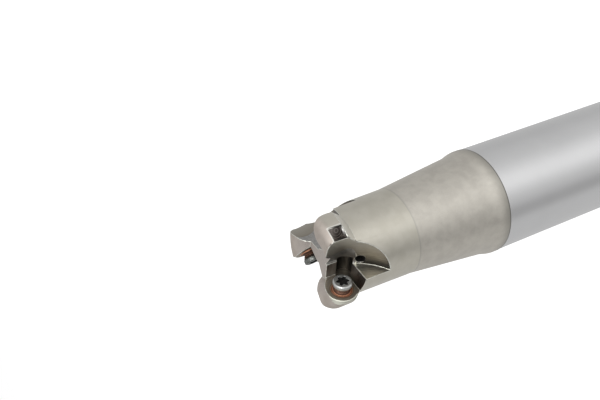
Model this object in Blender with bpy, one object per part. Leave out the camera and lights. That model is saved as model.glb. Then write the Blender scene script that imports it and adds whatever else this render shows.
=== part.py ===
"""Indexable end mill for round inserts: a turned and milled steel body with three
insert seats, and the three screws that hold the inserts.

The tool stands on the back face of its shank, with the cutting head up.
Sizes are in millimetres and turned into metres by MM where points are made.
"""

import math

import bmesh
import bpy
import numpy as np
from mathutils import Matrix, Vector

MM = 0.001

# Shank and body, heights measured up from the shank's back face
SHANK_RADIUS = 16.0
SHANK_LENGTH = 93.25
SHANK_CHAMFER = 1.0
LAND_STEP = 0.12
LAND_LENGTH = 2.6
LAND_EDGE = 0.45
CONE_TOP_RADIUS = 12.79
CONE_BOTTOM_RADIUS = 15.50
CONE_LENGTH = 26.6
NECK_RADIUS = 12.5
NECK_END = 48.2
HEAD_RADIUS = 14.3
HEAD_START = 50.6
HEAD_END = 56.75
NOSE_RADIUS = 2.4
DISH_DEPTH = 2.65
CREST_RADIUS = 9.9
CREST_DROP = 0.05
FLANK_RADIUS = 4.5
FLANK_SWEEP = 65.0

# Coolant: one bore up the middle, and a branch to each chip gullet
COOLANT_BORE_RADIUS = 4.0
COOLANT_BORE_END = 42.5
BRANCH_RADIUS = 1.45
BRANCH_REACH = 30.0
BRANCH_START = 41.5
BRANCH_MOUTH = (6.6, 2.2, 45.7)

# Insert seats for round inserts, 12 mm across and 4.76 mm thick
TOOTH_COUNT = 3
SEAT_AXIAL = HEAD_END - 3.45
INSERT_RADIUS = 6.0
INSERT_THICKNESS = 4.76
SEAT_WALL_SLOPE = 10.0
SEAT_INNER_WALL = 3.05
SEAT_OVERRUN = 30.0
CORNER_RELIEF_RADIUS = 2.2

# Chip gullet over each seat, cut by a small end mill, and its run-out by a large one
GULLET_FLOOR = 0.2
GULLET_MILL_RADIUS = 4.5
GULLET_END = SEAT_AXIAL - 6.8
GULLET_TILT = 26.5
GULLET_WALL = 2.5
MILL_OVERRUN = 20.0
RUNOUT_FLOOR = 0.1
RUNOUT_MILL_RADIUS = 16.9
RUNOUT_RADIAL = 21.17
RUNOUT_AXIAL = SEAT_AXIAL + 0.7
RUNOUT_TILT = 11.6

# Notch at the back of each tooth, where the screw's thread comes out
NOTCH_FLOOR = -9.65
NOTCH_WALL = 7.35
NOTCH_START = SEAT_AXIAL - 2.35
NOTCH_END = SEAT_AXIAL + 1.55

# Insert screw
SCREW_RADIAL = 8.77
SCREW_AXIAL = SEAT_AXIAL - 0.95
THREAD_RADIUS = 2.0
SCREW_HEAD_RADIUS = 2.72
SCREW_HEAD_EDGE = 0.3
SCREW_HEAD_RIM = 1.25
SCREW_HEAD_CONE = 0.75
SCREW_LENGTH = 6.6
SCREW_TIP_CHAMFER = 0.5
SCREW_TOP_LEVEL = -1.19
TAPPED_HOLE_DEPTH = 3.3
LOBE_CIRCLE = 1.65
LOBE_DEPTH = 1.4
SCREW_CLEARANCE = 0.3
COUNTERSINK_RADIUS = 2.94
COUNTERSINK_DEPTH = 0.5

# The tooth is turned down round its screw, so that the insert's edge stands clear
TOOTH_RELIEF_RADIUS = 4.28
TOOTH_RELIEF_SLOPE = 50.0
TOOTH_RELIEF_DEPTH = 2.0
TOOTH_RELIEF_TOP = 0.4
TOOTH_RELIEF_REACH = 7.0
RELIEF_SWEEP = (-100.0, 40.0)

TURNING_STEPS = 120
NOSE_STEPS = 8
MILL_STEPS = 72
SMALL_STEPS = 32


def clear_scene():
    for obj in list(bpy.data.objects):
        bpy.data.objects.remove(obj, do_unlink=True)


def finish_material(name, color, roughness):
    material = bpy.data.materials.new(name)
    material.use_nodes = True
    shader = material.node_tree.nodes["Principled BSDF"]
    shader.inputs["Base Color"].default_value = (*color, 1.0)
    shader.inputs["Metallic"].default_value = 1.0
    shader.inputs["Roughness"].default_value = roughness
    return material


def mesh_object(name, mesh_maker):
    mesh = bpy.data.meshes.new(name)
    bm = bmesh.new()
    mesh_maker(bm)
    bmesh.ops.recalc_face_normals(bm, faces=bm.faces)
    bm.to_mesh(mesh)
    bm.free()
    obj = bpy.data.objects.new(name, mesh)
    bpy.context.scene.collection.objects.link(obj)
    return obj


def turned(profile, steps):
    """Closes a (radius, height) outline that starts and ends on the axis by spinning it."""
    def make(bm):
        verts = [bm.verts.new((r * MM, 0.0, z * MM)) for r, z in profile]
        edges = [bm.edges.new(pair) for pair in zip(verts, verts[1:])]
        bmesh.ops.spin(bm, geom=verts + edges, cent=(0, 0, 0), axis=(0, 0, 1),
                       angle=math.tau, steps=steps, use_merge=False)
        bmesh.ops.remove_doubles(bm, verts=bm.verts, dist=1e-7)
    return make


def cutter(name, mesh_maker, placing=None):
    obj = mesh_object(name, mesh_maker)
    if placing is not None:
        obj.matrix_world = placing
    obj.display_type = "WIRE"
    obj.hide_render = True
    return obj


def cut(target, tool):
    boolean = target.modifiers.new(tool.name, "BOOLEAN")
    boolean.operation = "DIFFERENCE"
    boolean.object = tool


def arc(center, radius, start, end, steps):
    angles = np.radians(np.linspace(start, end, steps + 1))
    return [(center[0] + radius * math.cos(a), center[1] + radius * math.sin(a)) for a in angles]


def dish_flank(front):
    """Round flank from the head's crest down to the flat dish in the middle."""
    center = (CREST_RADIUS, front - CREST_DROP - FLANK_RADIUS)
    return arc(center, FLANK_RADIUS, 90, 90 + FLANK_SWEEP, NOSE_STEPS)


def body_profile():
    """Outline of the turned blank, from the axis at the back face to the axis at the front."""
    land_end = SHANK_LENGTH + LAND_LENGTH
    cone_start = land_end + LAND_EDGE
    front = SHANK_LENGTH + HEAD_END
    nose = (HEAD_RADIUS - NOSE_RADIUS, front - NOSE_RADIUS)
    land_radius = SHANK_RADIUS + LAND_STEP
    return [
        (0.0, 0.0),
        (SHANK_RADIUS - SHANK_CHAMFER, 0.0),
        (SHANK_RADIUS, SHANK_CHAMFER),
        (SHANK_RADIUS, SHANK_LENGTH),
        (land_radius, SHANK_LENGTH + LAND_STEP),
        (land_radius, land_end),
        (CONE_BOTTOM_RADIUS, cone_start),
        (CONE_TOP_RADIUS, cone_start + CONE_LENGTH),
        (NECK_RADIUS, SHANK_LENGTH + NECK_END),
        (HEAD_RADIUS, SHANK_LENGTH + HEAD_START),
        *arc(nose, NOSE_RADIUS, 0, 90, NOSE_STEPS),
        *dish_flank(front),
        (0.0, front - DISH_DEPTH),
    ]


def tooth_point(radial, level, axial):
    """Point in the frame of the tooth on +X: out from the axis, up from the insert's top, along the tool."""
    return (radial, level, SHANK_LENGTH + axial)


def stack(outlines):
    """Joins a stack of outlines with as many points each, in order, into one closed solid of triangles."""
    def make(bm):
        rings = [[bm.verts.new(Vector(p) * MM) for p in outline] for outline in outlines]
        bm.faces.new(rings[0])
        bm.faces.new(rings[-1])
        for low, high in zip(rings, rings[1:]):
            for i in range(len(low)):
                j = (i + 1) % len(low)
                bm.faces.new((low[i], low[j], high[j], high[i]))
        bmesh.ops.triangulate(bm, faces=bm.faces)
    return make


def seat_cutter():
    """Seat and the open space above it: its back wall leans as the insert's flank does."""
    slope = math.tan(math.radians(SEAT_WALL_SLOPE))
    front = SEAT_AXIAL + SEAT_OVERRUN

    def outline(level):
        back = SEAT_AXIAL - INSERT_RADIUS - level * slope
        return [tooth_point(SEAT_INNER_WALL, level, back),
                tooth_point(SEAT_OVERRUN, level, back),
                tooth_point(SEAT_OVERRUN, level, front),
                tooth_point(SEAT_INNER_WALL, level, front)]
    return stack([outline(-INSERT_THICKNESS), outline(GULLET_FLOOR + 0.3)])


def prism(outline, low, high, lean=0.0):
    """Carries an outline of (radial, axial) points from one level to another, leaning outwards by lean degrees."""
    shift = (high - low) * math.tan(math.radians(lean))
    return stack([[tooth_point(r, low, a) for r, a in outline],
                  [tooth_point(r + shift, high, a) for r, a in outline]])


def gullet_cutter():
    """Slot with a round end, open to the front, whose inner wall leans outwards."""
    center = (GULLET_WALL + GULLET_MILL_RADIUS, GULLET_END + GULLET_MILL_RADIUS)
    round_end = arc(center, GULLET_MILL_RADIUS, 180, 360, MILL_STEPS // 2)
    outline = [*round_end, (center[0] + GULLET_MILL_RADIUS, center[1] + MILL_OVERRUN),
               (center[0] - GULLET_MILL_RADIUS, center[1] + MILL_OVERRUN)]
    return prism(outline, GULLET_FLOOR, MILL_OVERRUN, GULLET_TILT)


def runout_cutter():
    outline = arc((RUNOUT_RADIAL, RUNOUT_AXIAL), RUNOUT_MILL_RADIUS, 0, 360, MILL_STEPS)[:-1]
    return prism(outline, RUNOUT_FLOOR, MILL_OVERRUN, RUNOUT_TILT)


def relief_cutter():
    """Round relief in the corner of the inner and the back wall, down to the seat's floor."""
    inset = 0.35 * CORNER_RELIEF_RADIUS
    center = (SEAT_INNER_WALL + inset, SEAT_AXIAL - 0.88 * INSERT_RADIUS + inset)
    outline = arc(center, CORNER_RELIEF_RADIUS, 0, 360, SMALL_STEPS)[:-1]
    return prism(outline, -INSERT_THICKNESS - 0.1, 2.0)


def notch_cutter():
    outline = [(NOTCH_WALL, NOTCH_START), (MILL_OVERRUN, NOTCH_START),
               (MILL_OVERRUN, NOTCH_END), (NOTCH_WALL, NOTCH_END)]
    return prism(outline, -MILL_OVERRUN, NOTCH_FLOOR)


def hole_cutter():
    """Tapped hole and its countersink, turned about the screw's axis with the seat floor at height 0."""
    bore = THREAD_RADIUS + SCREW_CLEARANCE
    mouth = 2 * COUNTERSINK_RADIUS - bore
    return turned([(0.0, -TAPPED_HOLE_DEPTH), (bore, -TAPPED_HOLE_DEPTH), (bore, -COUNTERSINK_DEPTH),
                   (mouth, COUNTERSINK_DEPTH), (0.0, COUNTERSINK_DEPTH)], SMALL_STEPS)


def tooth_relief_cutter():
    """Ring outside a cone about the screw's axis, with the seat floor at height 0: it widens downwards."""
    tan = math.tan(math.radians(TOOTH_RELIEF_SLOPE))
    corners = ((TOOTH_RELIEF_RADIUS - TOOTH_RELIEF_TOP * tan, TOOTH_RELIEF_TOP),
               (TOOTH_RELIEF_REACH, TOOTH_RELIEF_TOP),
               (TOOTH_RELIEF_REACH, -TOOTH_RELIEF_DEPTH),
               (TOOTH_RELIEF_RADIUS + TOOTH_RELIEF_DEPTH * tan, -TOOTH_RELIEF_DEPTH))

    def make(bm):
        rings = []
        for radius, height in corners:
            turn = arc((0.0, 0.0), radius, *RELIEF_SWEEP, MILL_STEPS // 2)
            rings.append([bm.verts.new(Vector((x, y, height)) * MM) for x, y in turn])
        for near, far in zip(rings, [*rings[1:], rings[0]]):
            for i in range(len(near) - 1):
                bm.faces.new((near[i], near[i + 1], far[i + 1], far[i]))
        bm.faces.new([ring[0] for ring in rings])
        bm.faces.new([ring[-1] for ring in rings])
    return make


def tooth_frame(index):
    return Matrix.Rotation(math.tau * index / TOOTH_COUNT, 4, "Z")


def screw_frame(index, level):
    """Height along the seat's normal, which points round the tool (+Y of the tooth's own frame)."""
    spot = tooth_point(SCREW_RADIAL, level, SCREW_AXIAL)
    place = Matrix.Translation(Vector(spot) * MM)
    return tooth_frame(index) @ place @ Matrix.Rotation(math.radians(-90), 4, "X")


def branch_frame(index):
    start = Vector((0.0, 0.0, SHANK_LENGTH + BRANCH_START))
    mouth = Vector(tooth_point(*BRANCH_MOUTH))
    direction = (mouth - start).normalized()
    turn = Vector((0, 0, 1)).rotation_difference(direction).to_matrix().to_4x4()
    return tooth_frame(index) @ Matrix.Translation(start * MM) @ turn


def make_body():
    body = mesh_object("cutter_body", turned(body_profile(), TURNING_STEPS))
    body.data.materials.append(finish_material("nickelled_steel", (0.47, 0.45, 0.40), 0.38))
    bore = turned([(0.0, -5.0), (COOLANT_BORE_RADIUS, -5.0),
                   (COOLANT_BORE_RADIUS, SHANK_LENGTH + COOLANT_BORE_END - COOLANT_BORE_RADIUS),
                   (0.0, SHANK_LENGTH + COOLANT_BORE_END)], SMALL_STEPS)
    cut(body, cutter("coolant_bore", bore))
    branch = turned([(0.0, 0.0), (BRANCH_RADIUS, 0.0), (BRANCH_RADIUS, BRANCH_REACH),
                     (0.0, BRANCH_REACH)], SMALL_STEPS)
    for index in range(TOOTH_COUNT):
        frame = tooth_frame(index)
        number = index + 1
        cut(body, cutter(f"runout_{number}", runout_cutter(), frame))
        cut(body, cutter(f"gullet_{number}", gullet_cutter(), frame))
        cut(body, cutter(f"seat_{number}", seat_cutter(), frame))
        cut(body, cutter(f"relief_{number}", relief_cutter(), frame))
        cut(body, cutter(f"notch_{number}", notch_cutter(), frame))
        cut(body, cutter(f"tooth_relief_{number}", tooth_relief_cutter(), screw_frame(index, -INSERT_THICKNESS)))
        cut(body, cutter(f"tapped_hole_{number}", hole_cutter(), screw_frame(index, -INSERT_THICKNESS)))
        cut(body, cutter(f"coolant_branch_{number}", branch, branch_frame(index)))
    return body


def six_lobe_outline(radius):
    """Six-lobed star: radius falls and rises six times round, with rounded lobes and hollows."""
    angles = np.linspace(0, math.tau, 60, endpoint=False)
    radii = radius * (0.855 + 0.145 * np.cos(6 * angles))
    return [(r * math.cos(a), r * math.sin(a)) for r, a in zip(radii, angles)]


def screw_profile():
    under = -SCREW_HEAD_RIM
    neck = under - SCREW_HEAD_CONE
    tip = -SCREW_LENGTH
    return [
        (0.0, tip),
        (THREAD_RADIUS - SCREW_TIP_CHAMFER, tip),
        (THREAD_RADIUS, tip + SCREW_TIP_CHAMFER),
        (THREAD_RADIUS, neck),
        (SCREW_HEAD_RADIUS, under),
        (SCREW_HEAD_RADIUS, -SCREW_HEAD_EDGE),
        (SCREW_HEAD_RADIUS - SCREW_HEAD_EDGE, 0.0),
        (0.0, 0.0),
    ]


def make_screw(index, material):
    screw = mesh_object(f"insert_screw_{index + 1}", turned(screw_profile(), 48))
    screw.matrix_world = screw_frame(index, SCREW_TOP_LEVEL)
    screw.data.materials.append(material)
    star = six_lobe_outline(LOBE_CIRCLE)
    recess = stack([[(x, y, -LOBE_DEPTH) for x, y in star], [(x, y, 1.0) for x, y in star]])
    cut(screw, cutter(f"drive_recess_{index + 1}", recess, screw.matrix_world.copy()))
    return screw


def main():
    clear_scene()
    make_body()
    screw_steel = finish_material("screw_steel", (0.42, 0.43, 0.42), 0.35)
    for index in range(TOOTH_COUNT):
        make_screw(index, screw_steel)


main()
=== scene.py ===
"""Looks of an indexable end mill: its turned and milled body, three insert screws,
and the white table it stands on."""

import math

import bmesh
import bpy
import numpy as np
from mathutils import Matrix


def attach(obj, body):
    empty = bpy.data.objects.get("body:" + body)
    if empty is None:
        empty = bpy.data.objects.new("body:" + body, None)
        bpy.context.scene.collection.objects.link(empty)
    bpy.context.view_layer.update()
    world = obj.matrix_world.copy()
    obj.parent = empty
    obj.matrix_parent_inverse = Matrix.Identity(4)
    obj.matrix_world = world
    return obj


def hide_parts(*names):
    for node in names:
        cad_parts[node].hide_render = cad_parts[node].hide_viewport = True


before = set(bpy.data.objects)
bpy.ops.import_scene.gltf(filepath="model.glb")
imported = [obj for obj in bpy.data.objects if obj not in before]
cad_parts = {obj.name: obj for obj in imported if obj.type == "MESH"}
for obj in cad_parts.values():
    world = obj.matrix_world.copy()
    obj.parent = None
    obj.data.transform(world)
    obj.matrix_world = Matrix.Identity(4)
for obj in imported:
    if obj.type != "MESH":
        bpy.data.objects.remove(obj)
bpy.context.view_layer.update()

# ---------------------------------------------------------------------------
# Cutter body. One piece of tool steel, turned, then milled for the seats and
# gullets, nickel plated all over, and last ground bright on its shank.
# ---------------------------------------------------------------------------

MM = 0.001

# The turned outline: heights above the shank's back face and radii, in mm.
SHANK_TOP = 93.25
LAND_RADIUS = 16.12
CONE_FOOT = 96.3
CONE_TOP = 122.9
CONE_RADII = (15.50, 12.79)         # at the cone's foot and at its top
NECK_TOP = 141.45
HEAD_BOTTOM = 143.85
FRONT = 150.0
HEAD_RADIUS = 14.3
NOSE_RADIUS = 2.4
CREST = (9.9, 149.95)               # radius and height
FLANK_RADIUS = 4.5
FLANK_SWEEP = 65.0                  # degrees
DISH_HEIGHT = 147.35
BORE_RADIUS = 4.0
BORE_END = 135.75

# A tooth, in its own frame: out from the tool's axis, level up from the insert's top,
# and along from the shank's top, in mm.
TEETH = 3
SEAT_FLOOR = -4.76
SCREW_AXIS = (8.77, 52.35)
COATED_RADIUS = 2.94                # of the countersunk hole's mouth
RELIEF_RADIUS = 4.28                # round the screw, at the seat's floor
RELIEF_SPREAD = 1.19                # growth of that radius for each mm down
CORNER_AXIS = (3.82, 48.79)
CORNER_RADIUS = 2.2
BACK_WALL = 47.3
BACK_WALL_LEAN = 0.176              # nearer to the shank for each mm up
RUNOUT_AXIS = (21.17, 54.0)
RUNOUT_RADIUS = 16.9
RUNOUT_LEAN = 0.205                 # further out for each mm up
RUNOUT_TOP = 12.0
FACET_LEVEL = 0.1
NOTCH_LEVEL = -9.65                 # of the notch's floor; it opens downwards
NOTCH_WALL = 7.35
NOTCH_START = 50.95
NOTCH_END = 54.85
NOTCH_MIDDLE = (9.4, 52.6)


def merged_copy(node, name):
    """New piece from a solid's mesh: corners that coincide are joined, then triangles that lie
    in one plane."""
    work = bmesh.new()
    work.from_mesh(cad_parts[node].data)
    bmesh.ops.remove_doubles(work, verts=work.verts, dist=1.5e-6)
    bmesh.ops.dissolve_limit(
        work, angle_limit=math.radians(0.4), verts=work.verts, edges=work.edges
    )
    mesh = bpy.data.meshes.new(name)
    work.to_mesh(mesh)
    work.free()
    piece = bpy.data.objects.new(name, mesh)
    bpy.context.scene.collection.objects.link(piece)
    return piece


body = merged_copy("cutter_body", "milled_body")

FLARE = (94.7, 98.9)                # heights between which the land runs out into the cone
FLARE_RINGS = 13
PLAIN_RINGS = (110.0, 126.0, 130.0)  # these keep the shading of a gullet's corner close to it
INNERMOST = 12.0                    # radius, within which nothing is cut


def cut_rings(mesh, heights):
    """The outside between the shank and the head is cut level at each height, in mm."""
    work = bmesh.new()
    work.from_mesh(mesh)
    for height in heights:
        outside = []
        for face in work.faces:
            middle = face.calc_center_median()
            if middle.xy.length > INNERMOST * MM and SHANK_TOP < middle.z / MM < NECK_TOP:
                outside.append(face)
        parts = dict.fromkeys(part for face in outside for part in (*face.edges, *face.verts))
        bmesh.ops.bisect_plane(
            work,
            geom=[*outside, *parts],
            dist=1e-7,
            plane_co=(0, 0, height * MM),
            plane_no=(0, 0, 1),
        )
    work.to_mesh(mesh)
    work.free()


def read_all(items, name, width=1, kind=float):
    """One property of all vertices, corners or faces, as an array with one row for each."""
    values = np.zeros(len(items) * width, kind)
    items.foreach_get(name, values)
    return values.reshape(-1, width) if width > 1 else values


def soften_flare(mesh):
    """The cone runs out to the land in one soft curve: each corner's radius follows a cubic in
    its height, which leaves the land level and meets the cone at the cone's own slope."""
    places = read_all(mesh.vertices, "co", 3) / MM
    radius, height = np.hypot(places[:, 0], places[:, 1]), places[:, 2]
    low, high = FLARE
    slope = (CONE_RADII[1] - CONE_RADII[0]) / (CONE_TOP - CONE_FOOT)
    end = CONE_RADII[0] + slope * (high - CONE_FOOT)
    share = (height - low) / (high - low)
    curve = (
        LAND_RADIUS
        + (end - LAND_RADIUS) * share ** 2 * (3 - 2 * share)
        + slope * (high - low) * share ** 2 * (share - 1)
    )
    flare = (height >= low) & (height <= high) & (radius > CONE_RADII[0] - 0.5)
    places[flare, :2] *= (curve[flare] / radius[flare])[:, None]
    mesh.vertices.foreach_set("co", (places * MM).astype(np.float32).ravel())
    mesh.update()


cut_rings(body.data, (*np.linspace(*FLARE, FLARE_RINGS), *PLAIN_RINGS))
soften_flare(body.data)


class Shade:
    """One output socket of a node tree. Sums and products written with it add Math nodes."""

    def __init__(self, tree, socket=None):
        self.tree = tree
        self.socket = socket

    def node(self, kind, settings=None, values=None, output=0):
        """Adds one node: its settings first, then the values or links of its input sockets."""
        node = self.tree.nodes.new(kind)
        for name, setting in (settings or {}).items():
            if name == "stops":
                ramp = node.color_ramp.elements
                while len(ramp) > 1:
                    ramp.remove(ramp[-1])
                ramp[0].position, ramp[0].color = setting[0]
                for place, colour in setting[1:]:
                    ramp.new(place).color = colour
            else:
                setattr(node, name, setting)
        for name, value in (values or {}).items():
            if isinstance(value, Shade):
                self.tree.links.new(value.socket, node.inputs[name])
            else:
                node.inputs[name].default_value = value
        return Shade(self.tree, node.outputs[output] if node.outputs else None)

    def math(self, operation, first, second):
        return self.node("ShaderNodeMath", {"operation": operation}, {0: first, 1: second})

    def __add__(self, other):
        return self.math("ADD", self, other)

    def __radd__(self, other):
        return self.math("ADD", other, self)

    def __sub__(self, other):
        return self.math("SUBTRACT", self, other)

    def __rsub__(self, other):
        return self.math("SUBTRACT", other, self)

    def __mul__(self, other):
        return self.math("MULTIPLY", self, other)

    def __rmul__(self, other):
        return self.math("MULTIPLY", other, self)

    def __truediv__(self, other):
        return self.math("DIVIDE", self, other)

    def __pow__(self, power):
        return self.math("POWER", self, power)

    def larger(self, other):
        """The larger of two values."""
        return self.math("MAXIMUM", self, other)

    def between(self, low, high):
        """0 below low, 1 above high, and a smooth step between them."""
        return self.node(
            "ShaderNodeMapRange",
            {"interpolation_type": "SMOOTHSTEP"},
            {"Value": self, "From Min": low, "From Max": high},
        )

    def mixed(self, first, second):
        """Colour that goes from first to second as this value goes from 0 to 1."""
        return self.node(
            "ShaderNodeMix",
            {"data_type": "RGBA", "clamp_factor": True},
            {0: self, 6: first, 7: second},
            2,
        )

    def parts(self):
        """The three parts of a vector."""
        split = self.node("ShaderNodeSeparateXYZ", values={0: self})
        return tuple(Shade(self.tree, part) for part in split.socket.node.outputs)


def rgb(red, green, blue):
    return (red, green, blue, 1.0)


class Finish:
    """A material of one metal surface: its shader, its place in mm, and the noises that wear
    and tooling leave."""

    def __init__(self, name, metallic=1.0):
        self.material = bpy.data.materials.new(name)
        self.material.use_nodes = True
        self.tree = self.material.node_tree
        self.shader = self.tree.nodes["Principled BSDF"]
        self.shader.inputs["Metallic"].default_value = metallic
        self.start = Shade(self.tree)
        spot = self.start.node("ShaderNodeTexCoord", output=3)
        self.place = self.start.node(
            "ShaderNodeVectorMath", {"operation": "SCALE"}, {0: spot, "Scale": 1.0 / MM}
        )
        self.x, self.y, self.z = self.place.parts()

    def vector(self, x, y, z):
        return self.start.node("ShaderNodeCombineXYZ", values={0: x, 1: y, 2: z})

    def noise(self, vector, scale, detail=3.0, rough=0.55):
        return self.start.node(
            "ShaderNodeTexNoise",
            {"noise_dimensions": "3D"},
            {"Vector": vector, "Scale": scale, "Detail": detail, "Roughness": rough},
        )

    def own_place(self, attribute):
        """Parts of the place that the mesh carries in an attribute, in mm."""
        return self.start.node(
            "ShaderNodeAttribute", {"attribute_name": attribute}, output=1
        ).parts()

    def finish(self, colour, rough, height=None, depth=0.0):
        """Links what varies: base colour, roughness, and a bump whose depth is in mm."""
        self.tree.links.new(colour.socket, self.shader.inputs["Base Color"])
        self.tree.links.new(rough.socket, self.shader.inputs["Roughness"])
        if height is not None:
            bump = self.start.node(
                "ShaderNodeBump", values={"Height": height, "Distance": depth * MM, "Strength": 1.0}
            )
            self.tree.links.new(bump.socket, self.shader.inputs["Normal"])
        return self.material


def ground_shank():
    """Bright steel with fine rings from the grinding wheel, a few deeper ones, and a painted
    highlight along its top edge.
    """
    f = Finish("ground_shank")
    rings = f.noise(f.vector(f.x * 0.05, f.y * 0.05, f.z * 5.0), 1.0, 4.0, 0.7)
    clouds = f.noise(f.place, 0.09, 2.0)
    colour = clouds.mixed(rgb(0.70, 0.70, 0.705), rgb(0.76, 0.76, 0.765))
    colour = (rings.between(0.62, 0.8) * 0.35).mixed(colour, rgb(0.56, 0.56, 0.56))
    # painted highlight: a bright band along the shank's top edge
    edge = f.z.between(SHANK_TOP - 0.25, SHANK_TOP - 0.02)
    colour = (edge * 0.5).mixed(colour, rgb(0.9, 0.9, 0.9))
    return f.finish(colour, rings * 0.10 + 0.20, rings, 0.003)


def blasted_nickel():
    """Nickel over a blasted cone: fine grain, soft clouds, a dark ring where the nickel meets the
    shank, and painted shade that deepens over the last few mm towards that ring."""
    f = Finish("blasted_nickel")
    grain = f.noise(f.place, 5.0, 4.0, 0.65)
    clouds = f.noise(f.place, 0.35, 4.0, 0.6)
    colour = clouds.between(0.3, 0.7).mixed(rgb(0.580, 0.548, 0.490), rgb(0.670, 0.637, 0.570))
    colour = (grain.between(0.35, 0.7) * 0.35).mixed(colour, rgb(0.70, 0.685, 0.64))
    # painted shade: the cone darkens over the 3 mm next to the shank
    shade = 1 - f.z.between(SHANK_TOP + 0.3, SHANK_TOP + 3.6)
    colour = (shade * 0.6).mixed(colour, rgb(0.33, 0.32, 0.285))
    groove = 1 - f.z.between(SHANK_TOP + 0.22, SHANK_TOP + 0.65)
    colour = (groove * 0.85).mixed(colour, rgb(0.17, 0.165, 0.155))
    seam = f.z.between(CONE_TOP - 0.5, CONE_TOP - 0.05)
    colour = (seam * 0.3).mixed(colour, rgb(0.42, 0.41, 0.38))
    return f.finish(colour, clouds * 0.12 + 0.34, grain, 0.010)


def turned_nickel():
    """Satin nickel over fine turning rings, on the neck and round the head. The nose and the dish
    are pinker; the shoulder carries painted light, and a painted highlight runs as a line round
    each notch."""
    f = Finish("turned_nickel")
    rings = f.noise(f.vector(f.x * 0.08, f.y * 0.08, f.z * 4.5), 1.0, 4.0, 0.7)
    clouds = f.noise(f.place, 0.3, 3.0)
    grain = f.noise(f.place, 3.5, 4.0, 0.65)
    colour = clouds.between(0.3, 0.7).mixed(rgb(0.61, 0.583, 0.505), rgb(0.665, 0.637, 0.56))
    colour = (rings.between(0.55, 0.8) * 0.25).mixed(colour, rgb(0.54, 0.52, 0.47))

    head = f.z.between(NECK_TOP, HEAD_BOTTOM)
    head_tone = clouds.between(0.3, 0.7).mixed(rgb(0.60, 0.57, 0.50), rgb(0.68, 0.65, 0.585))
    colour = head.mixed(colour, head_tone)
    nose_tone = clouds.between(0.35, 0.65).mixed(rgb(0.49, 0.44, 0.395), rgb(0.56, 0.51, 0.465))
    colour = f.z.between(FRONT - 3.2, FRONT - 0.9).mixed(colour, nose_tone)
    radius = (f.x * f.x + f.y * f.y) ** 0.5
    inside = 1 - radius.between(CREST[0] - 2.0, CREST[0] + 0.5)
    dish_tone = grain.between(0.3, 0.7).mixed(rgb(0.47, 0.425, 0.39), rgb(0.56, 0.515, 0.48))
    dish = inside * f.z.between(DISH_HEIGHT - 0.5, DISH_HEIGHT - 0.3)
    colour = dish.mixed(colour, dish_tone)

    stains = grain.between(0.58, 0.75) * f.z.between(HEAD_BOTTOM - 1, HEAD_BOTTOM + 1)
    colour = (stains * 0.35).mixed(colour, rgb(0.40, 0.36, 0.31))
    seam = 1 - f.z.between(CONE_TOP + 0.05, CONE_TOP + 0.35)
    colour = (seam * 0.45).mixed(colour, rgb(0.38, 0.37, 0.34))
    # painted light: the shoulder between the neck and the head is lightened
    past_shoulder = f.z.between(HEAD_BOTTOM - 0.4, HEAD_BOTTOM)
    shoulder = f.z.between(NECK_TOP - 0.1, NECK_TOP + 0.3) * (1 - past_shoulder)
    colour = (shoulder * 0.7).mixed(colour, rgb(0.84, 0.82, 0.76))

    out, level, along = f.own_place("tooth_place")
    past_ends = (along - NOTCH_END).larger(NOTCH_START - along)
    past_notch = past_ends.larger((NOTCH_WALL - out).larger(level - NOTCH_LEVEL))
    # painted highlight: a bright line round each notch
    painted_notch_highlight = 1 - past_notch.between(0.25, 0.5)
    colour = (painted_notch_highlight * 0.75).mixed(colour, rgb(0.90, 0.89, 0.84))
    shine = head * 0.2 + f.z.between(FRONT - 2.6, FRONT - 1.2) * 0.14
    return f.finish(colour, clouds * 0.10 + shine + 0.27, rings, 0.004)


def tooth_relief():
    """Relief under the insert's edge: turned about the screw, grey-green nickel with faint rings
    and a painted highlight along its rim."""
    f = Finish("tooth_relief")
    out, level, along = f.own_place("tooth_place")
    rings = f.noise(f.vector(level * 4.0, out * 0.2, along * 0.2), 1.0, 3.0, 0.6)
    colour = rings.between(0.3, 0.7).mixed(rgb(0.36, 0.36, 0.315), rgb(0.43, 0.43, 0.38))
    # painted highlight along the rim, next to the seat's floor
    rim = level.between(SEAT_FLOOR - 0.22, SEAT_FLOOR - 0.06)
    colour = (rim * 0.8).mixed(colour, rgb(0.86, 0.86, 0.76))
    return f.finish(colour, rings * 0.1 + 0.58, rings, 0.004)


def milled_wall():
    """Walls of the gullet and the seat: dark nickel with lines left by the end mill's teeth, up the
    wall, and painted shade near the gullet's root."""
    f = Finish("milled_wall")
    out, level, along = f.own_place("tooth_place")
    lines = f.noise(f.vector(out * 2.5, level * 0.25, along * 2.5), 1.0, 3.0, 0.6)
    colour = lines.between(0.3, 0.7).mixed(rgb(0.31, 0.305, 0.295), rgb(0.42, 0.41, 0.395))
    # painted shade: darker towards the corner at the gullet's root
    root = 1 - along.between(BACK_WALL - 0.7, BACK_WALL + 3.2)
    colour = (root * 0.35).mixed(colour, rgb(0.30, 0.295, 0.29))
    return f.finish(colour, lines * 0.15 + 0.28, lines, 0.008)


def seat_back_wall():
    """Back wall of the seat: nearly black, with the side mill's lines, a brown bloom, and painted
    shade at its foot by the floor.
    """
    f = Finish("seat_back_wall")
    out, level, along = f.own_place("tooth_place")
    lines = f.noise(f.vector(out * 2.5, level * 0.3, along), 1.0, 3.0, 0.6)
    colour = lines.between(0.3, 0.7).mixed(rgb(0.115, 0.10, 0.09), rgb(0.18, 0.165, 0.15))
    # painted shade: darker down the wall's foot, next to the floor
    foot = 1 - level.between(SEAT_FLOOR + 0.16, SEAT_FLOOR + 2.26)
    colour = foot.mixed(colour, rgb(0.07, 0.068, 0.055))
    return f.finish(colour, lines * 0.15 + 0.30, lines, 0.008)


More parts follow.
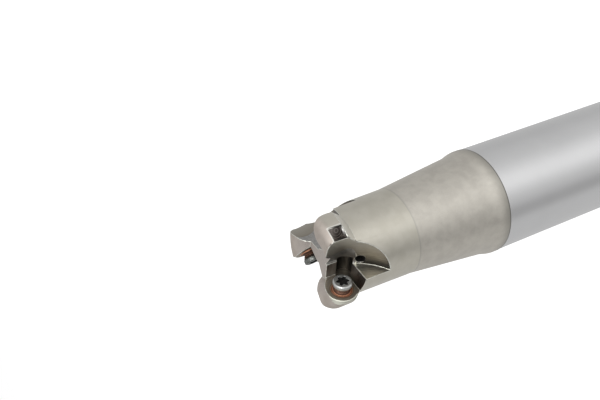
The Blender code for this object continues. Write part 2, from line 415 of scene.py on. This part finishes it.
def corner_relief():
    """Half-round relief in the seat's corner: nearly black, and greyer towards its top."""
    f = Finish("corner_relief")
    out, level, along = f.own_place("tooth_place")
    lines = f.noise(f.vector(out * 2.0, level * 0.3, along * 2.0), 1.0, 3.0, 0.6)
    colour = lines.between(0.3, 0.7).mixed(rgb(0.045, 0.043, 0.038), rgb(0.085, 0.082, 0.075))
    colour = (level.between(-1.0, 1.2) * 0.6).mixed(colour, rgb(0.15, 0.147, 0.14))
    return f.finish(colour, lines * 0.15 + 0.34, lines, 0.008)


def milled_fan():
    """Run-out wall: fine steps of the mill's path, brownish in the middle, and painted shade that
    turns it nearly black at its foot."""
    f = Finish("milled_fan")
    out, level, along = f.own_place("tooth_place")
    lines = f.noise(f.vector(out * 0.2, level * 3.5, along * 0.2), 1.0, 3.0, 0.6)
    # brownish tone and painted shade together: nearly black at the wall's foot, lighter up the wall
    tone_and_painted_shade = f.start.node(
        "ShaderNodeValToRGB",
        {"stops": [
            (0.0, rgb(0.014, 0.013, 0.011)),
            (0.13, rgb(0.020, 0.018, 0.016)),
            (0.38, rgb(0.148, 0.128, 0.102)),
            (0.62, rgb(0.310, 0.282, 0.236)),
            (1.0, rgb(0.42, 0.40, 0.35)),
        ]},
        {"Fac": level / RUNOUT_TOP},
    )
    worn = lines.between(0.35, 0.7) * level.between(0.5, 5.0)
    colour = (worn * 0.28).mixed(tone_and_painted_shade, rgb(0.45, 0.42, 0.37))
    return f.finish(colour, lines * 0.12 + 0.32, lines, 0.006)


def milled_facet():
    """Flat beside the run-out, with straight fine lines."""
    f = Finish("milled_facet")
    out, level, along = f.own_place("tooth_place")
    lines = f.noise(f.vector(out * 3.5 + along * 1.2, level, along * 0.15), 1.0, 3.0, 0.6)
    colour = lines.between(0.3, 0.7).mixed(rgb(0.57, 0.55, 0.465), rgb(0.72, 0.70, 0.605))
    return f.finish(colour, lines * 0.15 + 0.33, lines, 0.006)


def seat_floor():
    """Seat floor with rings of the facing cut round the screw, where a copper-coloured coating
    has run out of the thread."""
    f = Finish("seat_floor")
    out, level, along = f.own_place("tooth_place")
    across, length = out - SCREW_AXIS[0], along - SCREW_AXIS[1]
    reach = (across * across + length * length) ** 0.5
    rings = f.noise(f.vector(reach * 3.2, level, 0.0), 1.0, 2.0, 0.5)
    clouds = f.noise(f.vector(out, level, along), 0.9, 3.0)
    arcs = f.noise(f.vector(reach * 5.0, level, 0.0), 1.0, 2.0, 0.5)
    olive = rings.between(0.3, 0.7).mixed(rgb(0.27, 0.235, 0.19), rgb(0.40, 0.355, 0.295))
    brown = arcs.between(0.38, 0.62).mixed(rgb(0.24, 0.16, 0.105), rgb(0.50, 0.38, 0.27))
    copper = arcs.between(0.40, 0.60).mixed(rgb(0.20, 0.075, 0.035), rgb(0.74, 0.36, 0.20))
    spread = reach + clouds * 0.8
    stained = 1 - spread.between(COATED_RADIUS + 0.6, COATED_RADIUS + 1.2)
    coated = 1 - spread.between(COATED_RADIUS + 0.1, COATED_RADIUS + 0.7)
    colour = coated.mixed((stained * 0.7).mixed(olive, brown), copper)
    return f.finish(colour, clouds * 0.15 + 0.36, rings, 0.020)


def notch():
    """Square recess in the tooth's back: rings of the small mill that sank it, in dark brown
    nickel, with painted light towards the head and a plainer painted shade on its walls."""
    f = Finish("notch")
    out, level, along = f.own_place("tooth_place")
    across, length = out - NOTCH_MIDDLE[0], along - NOTCH_MIDDLE[1]
    reach = (across * across + length * length) ** 0.5
    rings = f.noise(f.vector(reach * 4.0, level, 0.0), 1.0, 2.0, 0.5)
    colour = rings.between(0.35, 0.65).mixed(rgb(0.06, 0.052, 0.045), rgb(0.30, 0.27, 0.25))
    # painted light: lighter towards the head end of the notch
    painted_light_end = along.between(NOTCH_START + 1.25, NOTCH_END - 0.65)
    colour = (painted_light_end * 0.5).mixed(colour, rgb(0.46, 0.41, 0.38))
    # painted shade: darker and plainer on the notch's walls
    wall = 1 - level.between(NOTCH_LEVEL - 0.35, NOTCH_LEVEL - 0.1)
    colour = (wall * 0.6).mixed(colour, rgb(0.13, 0.125, 0.115))
    return f.finish(colour, rings * 0.1 + 0.34, rings, 0.020)


def dark_bore():
    """Drilled holes, in a dark colour with faint lines round them."""
    f = Finish("dark_bore")
    lines = f.noise(f.vector(f.x * 0.3, f.y * 0.3, f.z * 4.0), 1.0)
    colour = lines.mixed(rgb(0.20, 0.195, 0.18), rgb(0.28, 0.27, 0.25))
    return f.finish(colour, lines * 0.2 + 0.35)


def broken_edge_highlight():
    """Edges that were broken with a brush: bright metal, painted lighter still as a highlight along
    each edge.
    """
    f = Finish("broken_edge_highlight")
    wear = f.noise(f.place, 1.6, 3.0)
    # painted highlight: the edge's colour is lighter than the faces beside it
    colour = wear.between(0.35, 0.65).mixed(rgb(0.62, 0.615, 0.56), rgb(0.84, 0.84, 0.77))
    return f.finish(colour, wear * 0.15 + 0.24)


BODY_FINISHES = (
    ground_shank,
    blasted_nickel,
    turned_nickel,
    tooth_relief,
    milled_wall,
    seat_back_wall,
    corner_relief,
    milled_fan,
    milled_facet,
    seat_floor,
    notch,
    dark_bore,
    broken_edge_highlight,
)
for make_finish in BODY_FINISHES:
    body.data.materials.append(make_finish())


def head_outline():
    """Radius and height along the turned head: up its side, round the nose by an arc, over the
    crest, down the inner flank by a wider arc, and across the flat dish to the axis."""
    nose = np.radians(np.linspace(0, 90, 16))
    flank = np.radians(np.linspace(90, 90 + FLANK_SWEEP, 16))
    return np.vstack([
        [(HEAD_RADIUS, HEAD_BOTTOM)],
        np.stack([
            HEAD_RADIUS - NOSE_RADIUS + NOSE_RADIUS * np.cos(nose),
            FRONT - NOSE_RADIUS + NOSE_RADIUS * np.sin(nose),
        ], axis=1),
        np.stack([
            CREST[0] + FLANK_RADIUS * np.cos(flank),
            CREST[1] - FLANK_RADIUS + FLANK_RADIUS * np.sin(flank),
        ], axis=1),
        [(0.0, DISH_HEIGHT)],
    ])


def distance_to(outline, radius, height):
    """Shortest distance from each point to the outline's segments: the point's foot on each
    segment, kept within it."""
    start, step = outline[:-1], np.diff(outline, axis=0)
    point = np.stack([radius, height], axis=1)[:, None]
    share = ((point - start) * step).sum(-1) / (step * step).sum(-1)
    foot = start + np.clip(share, 0, 1)[..., None] * step
    return np.linalg.norm(point - foot, axis=-1).min(axis=1)


def out_and_level(arrows, number):
    """Parts of places or directions out from the axis and up from the seat: those in the body's
    frame, turned back by the tooth's angle."""
    angle = math.tau * number / TEETH
    out = arrows[:, 0] * np.cos(angle) + arrows[:, 1] * np.sin(angle)
    level = arrows[:, 1] * np.cos(angle) - arrows[:, 0] * np.sin(angle)
    return out, level


def face_finishes(mesh):
    """Finish and tooth of every face, by where its middle lies, within a few hundredths of a mm:
    on a surface that a cutter made in a tooth's own frame, or on the turned outline. Where two
    rules hold, the later one counts. Outward, around and up are parts of the face's normal."""
    middle = read_all(mesh.polygons, "center", 3) / MM
    normal = read_all(mesh.polygons, "normal", 3)
    radius, height = np.hypot(middle[:, 0], middle[:, 1]), middle[:, 2]
    along = height - SHANK_TOP
    outward = (middle[:, :2] * normal[:, :2]).sum(axis=1) / np.maximum(radius, 1e-6)
    around = np.sqrt(np.clip(1 - outward ** 2 - normal[:, 2] ** 2, 0, 1))
    finish = np.full(len(middle), BODY_FINISHES.index(milled_wall))
    tooth = np.zeros(len(middle), int)

    for number in range(TEETH):
        out, level = out_and_level(middle, number)
        up = out_and_level(normal, number)[1]
        turn = np.degrees(np.arctan2(level, out))
        tooth[(turn > -60) & (turn <= 60)] = number
        pocket = (along > 35) & (out > 1.0)
        runout_reach = np.hypot(
            out - RUNOUT_AXIS[0] - RUNOUT_LEAN * level, along - RUNOUT_AXIS[1]
        )
        corner_reach = np.hypot(out - CORNER_AXIS[0], along - CORNER_AXIS[1])
        screw_reach = np.hypot(out - SCREW_AXIS[0], along - SCREW_AXIS[1])
        relief_reach = RELIEF_RADIUS - (level - SEAT_FLOOR) * RELIEF_SPREAD
        rules = (
            (milled_fan, (np.abs(runout_reach - RUNOUT_RADIUS) < 0.12)
             & (level > FACET_LEVEL - 0.05) & (level < RUNOUT_TOP + 4)),
            (milled_facet, (np.abs(level - FACET_LEVEL) < 0.03) & (up > 0.95)),
            (seat_back_wall, (np.abs(along - BACK_WALL + BACK_WALL_LEAN * level) < 0.06)
             & (level < FACET_LEVEL + 0.5) & (level > SEAT_FLOOR - 0.1)),
            (corner_relief, (np.abs(corner_reach - CORNER_RADIUS) < 0.06) & (np.abs(up) < 0.1)
             & (level < FACET_LEVEL + 2) & (level > SEAT_FLOOR - 0.2)),
            (seat_floor, (level < SEAT_FLOOR + 0.05) & (level > SEAT_FLOOR - 4.5)
             & ((up > 0.9) | (screw_reach < COATED_RADIUS + 0.1))),
            (tooth_relief, (level < SEAT_FLOOR) & (level > SEAT_FLOOR - 2)
             & (screw_reach > RELIEF_RADIUS) & (np.abs(screw_reach - relief_reach) < 0.15)),
            (notch, (level < NOTCH_LEVEL + 0.02) & (out > NOTCH_WALL - 0.05)
             & (along > NOTCH_START - 0.05) & (along < NOTCH_END + 0.05)
             & (around > 0.03) & (radius < HEAD_RADIUS - 0.05)),
        )
        for make, inside in rules:
            chosen = pocket & inside
            finish[chosen] = BODY_FINISHES.index(make)
            tooth[chosen] = number

    side = (outward > 0.93) & (radius > 12.2)
    neck = side & (height > CONE_TOP - 0.1)
    shoulder = (height > NECK_TOP) & (height < HEAD_BOTTOM) & (radius > 12.3) & (outward > 0.55)
    head = (distance_to(head_outline(), radius, height) < 0.06) & (around < 0.2)
    rules = (
        (ground_shank, side & (height < SHANK_TOP + 0.06)),
        (blasted_nickel, side & (height > SHANK_TOP + 0.06)),
        (turned_nickel, neck | shoulder | head),
        (blasted_nickel, (np.abs(height - SHANK_TOP) < 0.06) & (radius > 15)),
        (ground_shank, (height < 1.2) & (radius > BORE_RADIUS + 0.2)),
        (dark_bore, (height < BORE_END) & (radius < BORE_RADIUS + 0.2)),
    )
    for make, chosen in rules:
        finish[chosen] = BODY_FINISHES.index(make)
    return finish, tooth


finish_of_face, tooth_of_face = face_finishes(body.data)
body.data.polygons.foreach_set("material_index", finish_of_face.astype(np.int32))


def add_tooth_places(mesh, tooth):
    """Corner attribute with each corner's place in the frame of its face's tooth, in mm."""
    owner = read_all(mesh.loops, "vertex_index", kind=np.int32)
    places = read_all(mesh.vertices, "co", 3)[owner] / MM
    sizes = read_all(mesh.polygons, "loop_total", kind=np.int32)
    out, level = out_and_level(places, np.repeat(tooth, sizes))
    local = np.stack([out, level, places[:, 2] - SHANK_TOP], axis=1)
    attribute = mesh.attributes.new("tooth_place", "FLOAT_VECTOR", "CORNER")
    attribute.data.foreach_set("vector", local.astype(np.float32).ravel())


add_tooth_places(body.data, tooth_of_face)

EDGE_WIDTH = 0.16
EDGE_ANGLE = 28.0                   # degrees between two faces, from which their edge is broken
HOLLOW_SHARE = 0.6                  # of the edge's width, where two faces meet in a hollow corner


def mark_edges(mesh, finish):
    """Weights for the bevel: an edge between faces at more than the edge angle was broken with
    the brush. Edges of narrow or drilled faces stay as the cutter left them, and are marked
    sharp, and those of the blasted cone stay soft."""
    edge = read_all(mesh.loops, "edge_index", kind=np.int32)
    sizes = read_all(mesh.polygons, "loop_total", kind=np.int32)
    face = np.repeat(np.arange(len(sizes)), sizes)
    order = np.argsort(edge, kind="stable")
    first, second = face[order[0::2]], face[order[1::2]]
    normal = read_all(mesh.polygons, "normal", 3)
    middle = read_all(mesh.polygons, "center", 3)
    cosine = np.clip((normal[first] * normal[second]).sum(axis=1), -1, 1)
    hollow = ((middle[second] - middle[first]) * normal[first]).sum(axis=1) > 0

    def beside(*makers):
        """Edges with one of these finishes on one side or both."""
        chosen = [BODY_FINISHES.index(make) for make in makers]
        return np.isin(finish[first], chosen) | np.isin(finish[second], chosen)

    floor = BODY_FINISHES.index(seat_floor)
    within_floor = (finish[first] == floor) & (finish[second] == floor)
    narrow = beside(tooth_relief, dark_bore, corner_relief)
    left = narrow | within_floor | (hollow & beside(notch))
    corner = (np.degrees(np.arccos(cosine)) > EDGE_ANGLE) & ~beside(blasted_nickel)
    share = np.where(hollow, HOLLOW_SHARE, 1.0) * (corner & ~left)
    weight = mesh.attributes.new("bevel_weight_edge", "FLOAT", "EDGE")
    weight.data.foreach_set("value", share.astype(np.float32))
    sharp = mesh.attributes.new("sharp_edge", "BOOLEAN", "EDGE")
    sharp.data.foreach_set("value", corner & left)


mark_edges(body.data, finish_of_face)

body.data.polygons.foreach_set("use_smooth", [True] * len(body.data.polygons))
edges = body.modifiers.new("broken_edges", "BEVEL")
edges.width = EDGE_WIDTH * MM
edges.segments = 2
edges.limit_method = "WEIGHT"
edges.use_clamp_overlap = False
edges.miter_outer = "MITER_ARC"
edges.material = BODY_FINISHES.index(broken_edge_highlight)
weighted = body.modifiers.new("face_normals", "WEIGHTED_NORMAL")
weighted.mode = "FACE_AREA"
weighted.weight = 80
weighted.keep_sharp = True

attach(body, "root")
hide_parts("cutter_body")

# ---------------------------------------------------------------------------
# Insert screws. Hardened steel with a six-lobe recess, turned in one piece,
# their threads dipped in a copper-coloured coating before they were driven in.
# ---------------------------------------------------------------------------

# Sizes in mm. The cap is the screw's head, and a lobe is one of the recess's six.
SCREW_TOP = -1.45                   # level of the cap's top in the tooth's frame
SCREW_LENGTH = 6.35
CAP_RADIUS = 2.72
CAP_HEIGHT = 1.25
CAP_CONE = 0.75
THREAD_RADIUS = 2.2
THREAD_DEPTH = 0.28
THREAD_PITCH = 0.7
LOBE_RADIUS = 1.86
LOBE_DEPTH = 1.5
COLLAR_RIDGE = 0.09
COLLAR = (
    # radius of each ring of the collar, its height over the floor, and its share of a ridge
    (2.22, 0.30, 0.0),
    (2.30, 0.24, 1.0),
    (2.38, 0.10, 0.0),
    (2.46, 0.08, 0.0),
    (2.53, 0.10, 1.0),
    (2.61, 0.0, 0.0),
    (2.69, -0.01, 0.0),
    (2.75, 0.0, 0.8),
    (2.80, -0.05, 0.0),
    (2.78, -0.11, 0.0),
    (2.22, -0.13, 0.0),
)
ROUND_STEPS = 192
THREAD_ROWS = 12                    # rows of faces for each turn of the thread
RECESS_ROWS = 3                     # rows of faces in the recess, from its bottom up
POLE_RADIUS = 0.02                  # of the last ring before a pole
STEEL, COATED, BLACK = range(3)     # the screw's material slots
SPINS = (12.0, 37.0, 62.0)          # degrees that each screw is turned about its own axis
# painted shade of each screw, darkest on the third, with the roughness it adds
SHADE_AND_DULLNESS = (0.0, 0.3, 0.9)


def lobed(angle, radius):
    """Radius of the six-lobe outline: it swings six times round between its tips and its
    hollows, and a little twelve times round."""
    return radius * (0.835 + 0.17 * np.cos(6 * angle) - 0.015 * np.cos(12 * angle))


def screw_rings():
    """Radius and height of every ring from the recess's middle to the tip. A ring's radius may
    depend on the angle: lobed in the recess, plain on the head, and on the thread a triangle wave
    of height plus angle times the pitch. A collar of coating with three ridges lies round the
    thread where it enters the seat's floor."""
    angle = np.linspace(0.0, math.tau, ROUND_STEPS, endpoint=False)
    plain = np.ones(ROUND_STEPS)
    rim = lobed(angle, LOBE_RADIUS + 0.06)
    rings = [
        (lobed(angle, POLE_RADIUS * LOBE_RADIUS), -LOBE_DEPTH * plain),
        (lobed(angle, 0.92 * LOBE_RADIUS), -LOBE_DEPTH * plain),
        (lobed(angle, 0.98 * LOBE_RADIUS), -(LOBE_DEPTH - 0.1) * plain),
        (lobed(angle, LOBE_RADIUS), -0.10 * plain),
        (lobed(angle, LOBE_RADIUS + 0.015), -0.04 * plain),
        (rim, 0.0 * plain),
    ]
    rings += [
        (rim + share * (CAP_RADIUS - 0.35 - rim), -0.01 * share * plain) for share in (0.35, 0.75)
    ]
    cone_end = -CAP_HEIGHT - CAP_CONE
    turned = [
        (CAP_RADIUS - 0.34, -0.015),
        (CAP_RADIUS - 0.26, -0.04),
        (CAP_RADIUS - 0.06, -0.22),
        (CAP_RADIUS, -0.32),
        (CAP_RADIUS, -0.36),
        (CAP_RADIUS, -CAP_HEIGHT + 0.08),
        (CAP_RADIUS - 0.03, -CAP_HEIGHT),
        (CAP_RADIUS - 0.10, -CAP_HEIGHT - 0.05),
        (THREAD_RADIUS + 0.06, cone_end + 0.04),
        (THREAD_RADIUS, cone_end),
        (THREAD_RADIUS, cone_end - 0.10),
    ]
    rings += [(radius * plain, height * plain) for radius, height in turned]

    def threaded(start, end):
        """Rings of the thread, from one height down to another."""
        rows = max(2, int((start - end) / THREAD_PITCH * THREAD_ROWS))
        for height in np.linspace(start, end, rows):
            phase = (height / THREAD_PITCH + angle / math.tau) % 1.0
            groove = np.clip(1.25 * np.abs(2 * phase - 1) - 0.1, 0, 1)
            rings.append((THREAD_RADIUS - THREAD_DEPTH * groove, height * plain))

    floor = SEAT_FLOOR - SCREW_TOP
    threaded(cone_end - 0.15, floor + 0.42)
    ridges = COLLAR_RIDGE * (1 + 0.25 * np.sin(7 * angle + 1.3) + 0.15 * np.sin(13 * angle))
    for radius, lift, ridge in COLLAR:
        rings.append((radius * plain, (floor + lift) * plain + ridge * ridges))
    threaded(floor - 0.16, -SCREW_LENGTH + 0.4)
    rings += [
        ((THREAD_RADIUS - 0.5) * plain, -SCREW_LENGTH * plain),
        (POLE_RADIUS * plain, -SCREW_LENGTH * plain),
    ]
    return angle, np.stack([radii for radii, _ in rings]), np.stack([levels for _, levels in rings])


def screw_mesh(name, number, spin):
    """The rings joined in a grid and closed at both poles, then stood on the tooth's seat: across
    the seat, up from the seat, and along the tool, turned round the tool by the tooth's angle."""
    angle, radii, heights = screw_rings()
    rows, steps = radii.shape
    turn = angle + math.radians(spin)
    out = SCREW_AXIS[0] + radii * np.cos(turn)
    along = SHANK_TOP + SCREW_AXIS[1] - radii * np.sin(turn)
    level = SCREW_TOP + heights
    tooth = math.tau * number / TEETH
    places = np.stack([
        out * math.cos(tooth) - level * math.sin(tooth),
        out * math.sin(tooth) + level * math.cos(tooth),
        along,
    ], axis=-1)
    poles = places[[0, -1]].mean(axis=1)
    points = np.vstack([places.reshape(-1, 3), poles]) * MM

    index = np.arange(rows * steps).reshape(rows, steps)
    right = np.roll(index, -1, axis=1)
    quads = np.stack([index[:-1], index[1:], right[1:], right[:-1]], axis=-1).reshape(-1, 4)
    first = np.stack([right[0], np.full(steps, rows * steps), index[0]], axis=-1)
    last = np.stack([index[-1], np.full(steps, rows * steps + 1), right[-1]], axis=-1)
    mesh = bpy.data.meshes.new(name)
    mesh.from_pydata(points.tolist(), [], quads.tolist() + first.tolist() + last.tolist())

    coated_from = int(np.argmax(heights[:, 0] < -CAP_HEIGHT - 0.3))
    finish = np.full(len(mesh.polygons), STEEL, np.int32)
    finish[coated_from * steps:] = COATED
    # the recess, and the cap at the tip, take the painted shade finish
    finish[:RECESS_ROWS * steps] = BLACK
    finish[(rows - 1) * steps:rows * steps] = BLACK
    mesh.polygons.foreach_set("material_index", finish)
    mesh.polygons.foreach_set("use_smooth", [True] * len(mesh.polygons))
    local = np.stack([radii, heights, np.zeros_like(radii)], axis=-1).reshape(-1, 3)
    ends = [(0.0, heights[0, 0], 0.0), (0.0, heights[-1, 0], 0.0)]
    attribute = mesh.attributes.new("screw_place", "FLOAT_VECTOR", "POINT")
    attribute.data.foreach_set("vector", np.vstack([local, ends]).astype(np.float32).ravel())
    return mesh


def screw_steel(number, shade_and_dullness):
    """Bare hardened steel with nicks from the driver; each screw has its own amount of painted
    shade in blotches, which also makes it rougher."""
    f = Finish(f"screw_steel_{number + 1}")
    grain = f.noise(f.place, 3.0, 3.0)
    nicks = f.noise(f.place, 9.0, 2.0).between(0.66, 0.74)
    colour = grain.between(0.3, 0.7).mixed(rgb(0.50, 0.51, 0.50), rgb(0.64, 0.65, 0.64))
    colour = (nicks * 0.5).mixed(colour, rgb(0.9, 0.9, 0.9))
    # painted shade in blotches, as much as each screw is given
    colour = (grain.between(0.25, 0.5) * shade_and_dullness).mixed(colour, rgb(0.10, 0.108, 0.095))
    return f.finish(colour, grain * 0.15 + 0.24 + shade_and_dullness * 0.12, grain, 0.008)


def coated_thread():
    """Copper-coloured thread coating in fine rings, rubbed brown, and painted shade, nearly black,
    under the head: on the thread above the floor and close round it."""
    f = Finish("coated_thread", metallic=0.6)
    reach, height, _ = f.own_place("screw_place")
    patches = f.noise(f.place, 1.8, 4.0, 0.65)
    rings = f.noise(f.vector(reach * 7.0, height * 1.5, patches * 1.5), 1.0, 2.0, 0.5)
    colour = rings.between(0.42, 0.58).mixed(rgb(0.17, 0.075, 0.047), rgb(0.72, 0.36, 0.21))
    colour = (patches.between(0.4, 0.7) * 0.5).mixed(colour, rgb(0.22, 0.10, 0.065))
    floor = SEAT_FLOOR - SCREW_TOP
    # painted shade under the head: on the thread above the seat's floor, and on the collar close
    # round the thread
    above = height.between(floor + 0.12, floor + 0.5)
    near = 1 - reach.between(THREAD_RADIUS + 0.12, THREAD_RADIUS + 0.35)
    colour = (above.larger(near) * 0.8).mixed(colour, rgb(0.045, 0.022, 0.016))
    return f.finish(colour, patches * 0.2 + 0.40, rings, 0.02)


def recess_painted_shade():
    """Bottom and walls of the recess: painted shade, nearly black and without shine."""
    f = Finish("recess_painted_shade", metallic=0.0)
    f.shader.inputs["Specular IOR Level"].default_value = 0.08
    mottle = f.noise(f.place, 3.0, 3.0)
    colour = mottle.mixed(rgb(0.006, 0.006, 0.006), rgb(0.03, 0.03, 0.028))
    return f.finish(colour, mottle * 0.2 + 0.45, mottle, 0.01)


coating, black = coated_thread(), recess_painted_shade()
for number, (spin, shade_and_dullness) in enumerate(zip(SPINS, SHADE_AND_DULLNESS)):
    name = f"seat_screw_{number + 1}"
    mesh = screw_mesh(name, number, spin)
    for material in (screw_steel(number, shade_and_dullness), coating, black):
        mesh.materials.append(material)
    work = bmesh.new()
    work.from_mesh(mesh)
    bmesh.ops.recalc_face_normals(work, faces=work.faces)
    work.to_mesh(mesh)
    work.free()
    mesh.set_sharp_from_angle(angle=math.radians(40))
    screw = bpy.data.objects.new(name, mesh)
    bpy.context.scene.collection.objects.link(screw)
    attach(screw, "root")
    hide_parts(f"insert_screw_{number + 1}")

# ---------------------------------------------------------------------------
# Table. The tool stands on its shank on a white sheet; metal looks through
# the sheet to the light tent, so that no dark plane shows in its reflections.
# ---------------------------------------------------------------------------

TABLE_HALF = 3.0                    # metres


def table_mesh():
    """Flat square at height 0: both of its parameters run from minus to plus half its side."""
    side = np.linspace(-TABLE_HALF, TABLE_HALF, 3)
    x, y = np.meshgrid(side, side, indexing="ij")
    places = np.stack([x, y, np.zeros_like(x)], axis=-1).reshape(-1, 3)
    index = np.arange(9).reshape(3, 3)
    quads = np.stack([index[:-1, :-1], index[1:, :-1], index[1:, 1:], index[:-1, 1:]], axis=-1)
    mesh = bpy.data.meshes.new("table")
    mesh.from_pydata(places.tolist(), [], quads.reshape(-1, 4).tolist())
    return mesh


sheet = bpy.data.objects.new("table", table_mesh())
bpy.context.scene.collection.objects.link(sheet)
sheet_paint = bpy.data.materials.new("white_sheet")
sheet_paint.use_nodes = True
sheet_paint.node_tree.nodes.clear()
pen = Shade(sheet_paint.node_tree)
seen = pen.node("ShaderNodeLightPath", output="Is Camera Ray")
mirrored = pen.node("ShaderNodeLightPath", output="Is Glossy Ray")
lit = pen.node("ShaderNodeBsdfDiffuse", values={"Color": rgb(0.86, 0.86, 0.86)})
glow = pen.node("ShaderNodeEmission", values={"Color": rgb(1, 1, 1), "Strength": 0.55})
both = pen.node("ShaderNodeAddShader", values={0: lit, 1: glow})
white = pen.node("ShaderNodeMixShader", values={0: seen, 1: lit, 2: both})
clear = pen.node("ShaderNodeBsdfTransparent")
top = pen.node("ShaderNodeMixShader", values={0: mirrored, 1: white, 2: clear})
pen.node("ShaderNodeOutputMaterial", values={"Surface": top})
sheet.data.materials.append(sheet_paint)

# ---------------------------------------------------------------------------
# Light tent. A white studio tent: brightest beside the camera, greyer to the
# left and right of it, with a dark gap low on the camera's right, and one lamp.
# ---------------------------------------------------------------------------

TENT_STOPS = (
    # azimuth of the light's direction in degrees, and how bright the tent is there
    (0, 0.42),
    (15, 0.60),
    (30, 0.70),
    (55, 1.00),
    (70, 1.00),
    (105, 0.70),
    (160, 0.55),
    (215, 0.60),
    (335, 0.60),
    (347, 0.44),
    (360, 0.42),
)

tent = bpy.data.worlds.new("light_tent")
bpy.context.scene.world = tent
tent.use_nodes = True
tent.node_tree.nodes.clear()
sky = Shade(tent.node_tree)
east, north, upward = sky.node("ShaderNodeTexCoord").parts()
azimuth = sky.math("ARCTAN2", north, east) / math.tau
turns = azimuth + (1 - sky.math("GREATER_THAN", azimuth, 0.0))
walls = sky.node(
    "ShaderNodeValToRGB",
    {"stops": [(place / 360, rgb(value, value, value)) for place, value in TENT_STOPS]},
    {"Fac": turns},
)
tent_colour = upward.between(0.35, 0.9).mixed(walls, rgb(0.75, 0.75, 0.75))
camera_ray = sky.node("ShaderNodeLightPath", output="Is Camera Ray")
shown = camera_ray.mixed(tent_colour, rgb(1, 1, 1))
background = sky.node("ShaderNodeBackground", values={"Color": shown, "Strength": 1.0})
sky.node("ShaderNodeOutputWorld", values={"Surface": background})


def facing(place, along, up):
    """Matrix of a lamp or a camera at a place: its columns are the picture's right, its up and
    its back, then the place."""
    along = np.array(along) / np.linalg.norm(along)
    right = np.cross(along, up)
    right /= np.linalg.norm(right)
    matrix = np.eye(4)
    matrix[:3] = np.stack([right, np.cross(right, along), -along, place], axis=1)
    return Matrix(matrix.tolist())


LAMP_FROM = (0.25, 0.45, 0.55)
LAMP_ALONG = (-0.25, -0.45, -0.45)  # towards the tool's shank, 0.1 m above the table

softbox = bpy.data.lights.new("main_softbox", "AREA")
softbox.size = 0.35
softbox.energy = 2.0
lamp = bpy.data.objects.new("main_softbox", softbox)
bpy.context.scene.collection.objects.link(lamp)
lamp.matrix_world = facing(LAMP_FROM, LAMP_ALONG, (0, 0, 1))

# ---------------------------------------------------------------------------
# Camera, at the photograph's viewing angle: close to the head, above it, and
# rolled so that the tool lies across the picture with its head to the left.
# ---------------------------------------------------------------------------

VIEW_FROM = (0.14360979, 0.17114748, 0.24682092)
VIEW_ALONG = (-0.63925553, -0.65252926, -0.40688811)
VIEW_UP = (-0.58414095, 0.75616857, -0.29493803)

lens = bpy.data.cameras.new("camera")
lens.lens = 53.132
lens.sensor_width = 36.0
lens.clip_start = 0.005
lens.clip_end = 20.0
camera = bpy.data.objects.new("camera", lens)
bpy.context.scene.collection.objects.link(camera)
camera.matrix_world = facing(VIEW_FROM, VIEW_ALONG, VIEW_UP)
bpy.context.scene.camera = camera
bpy.context.scene.view_settings.view_transform = "Standard"
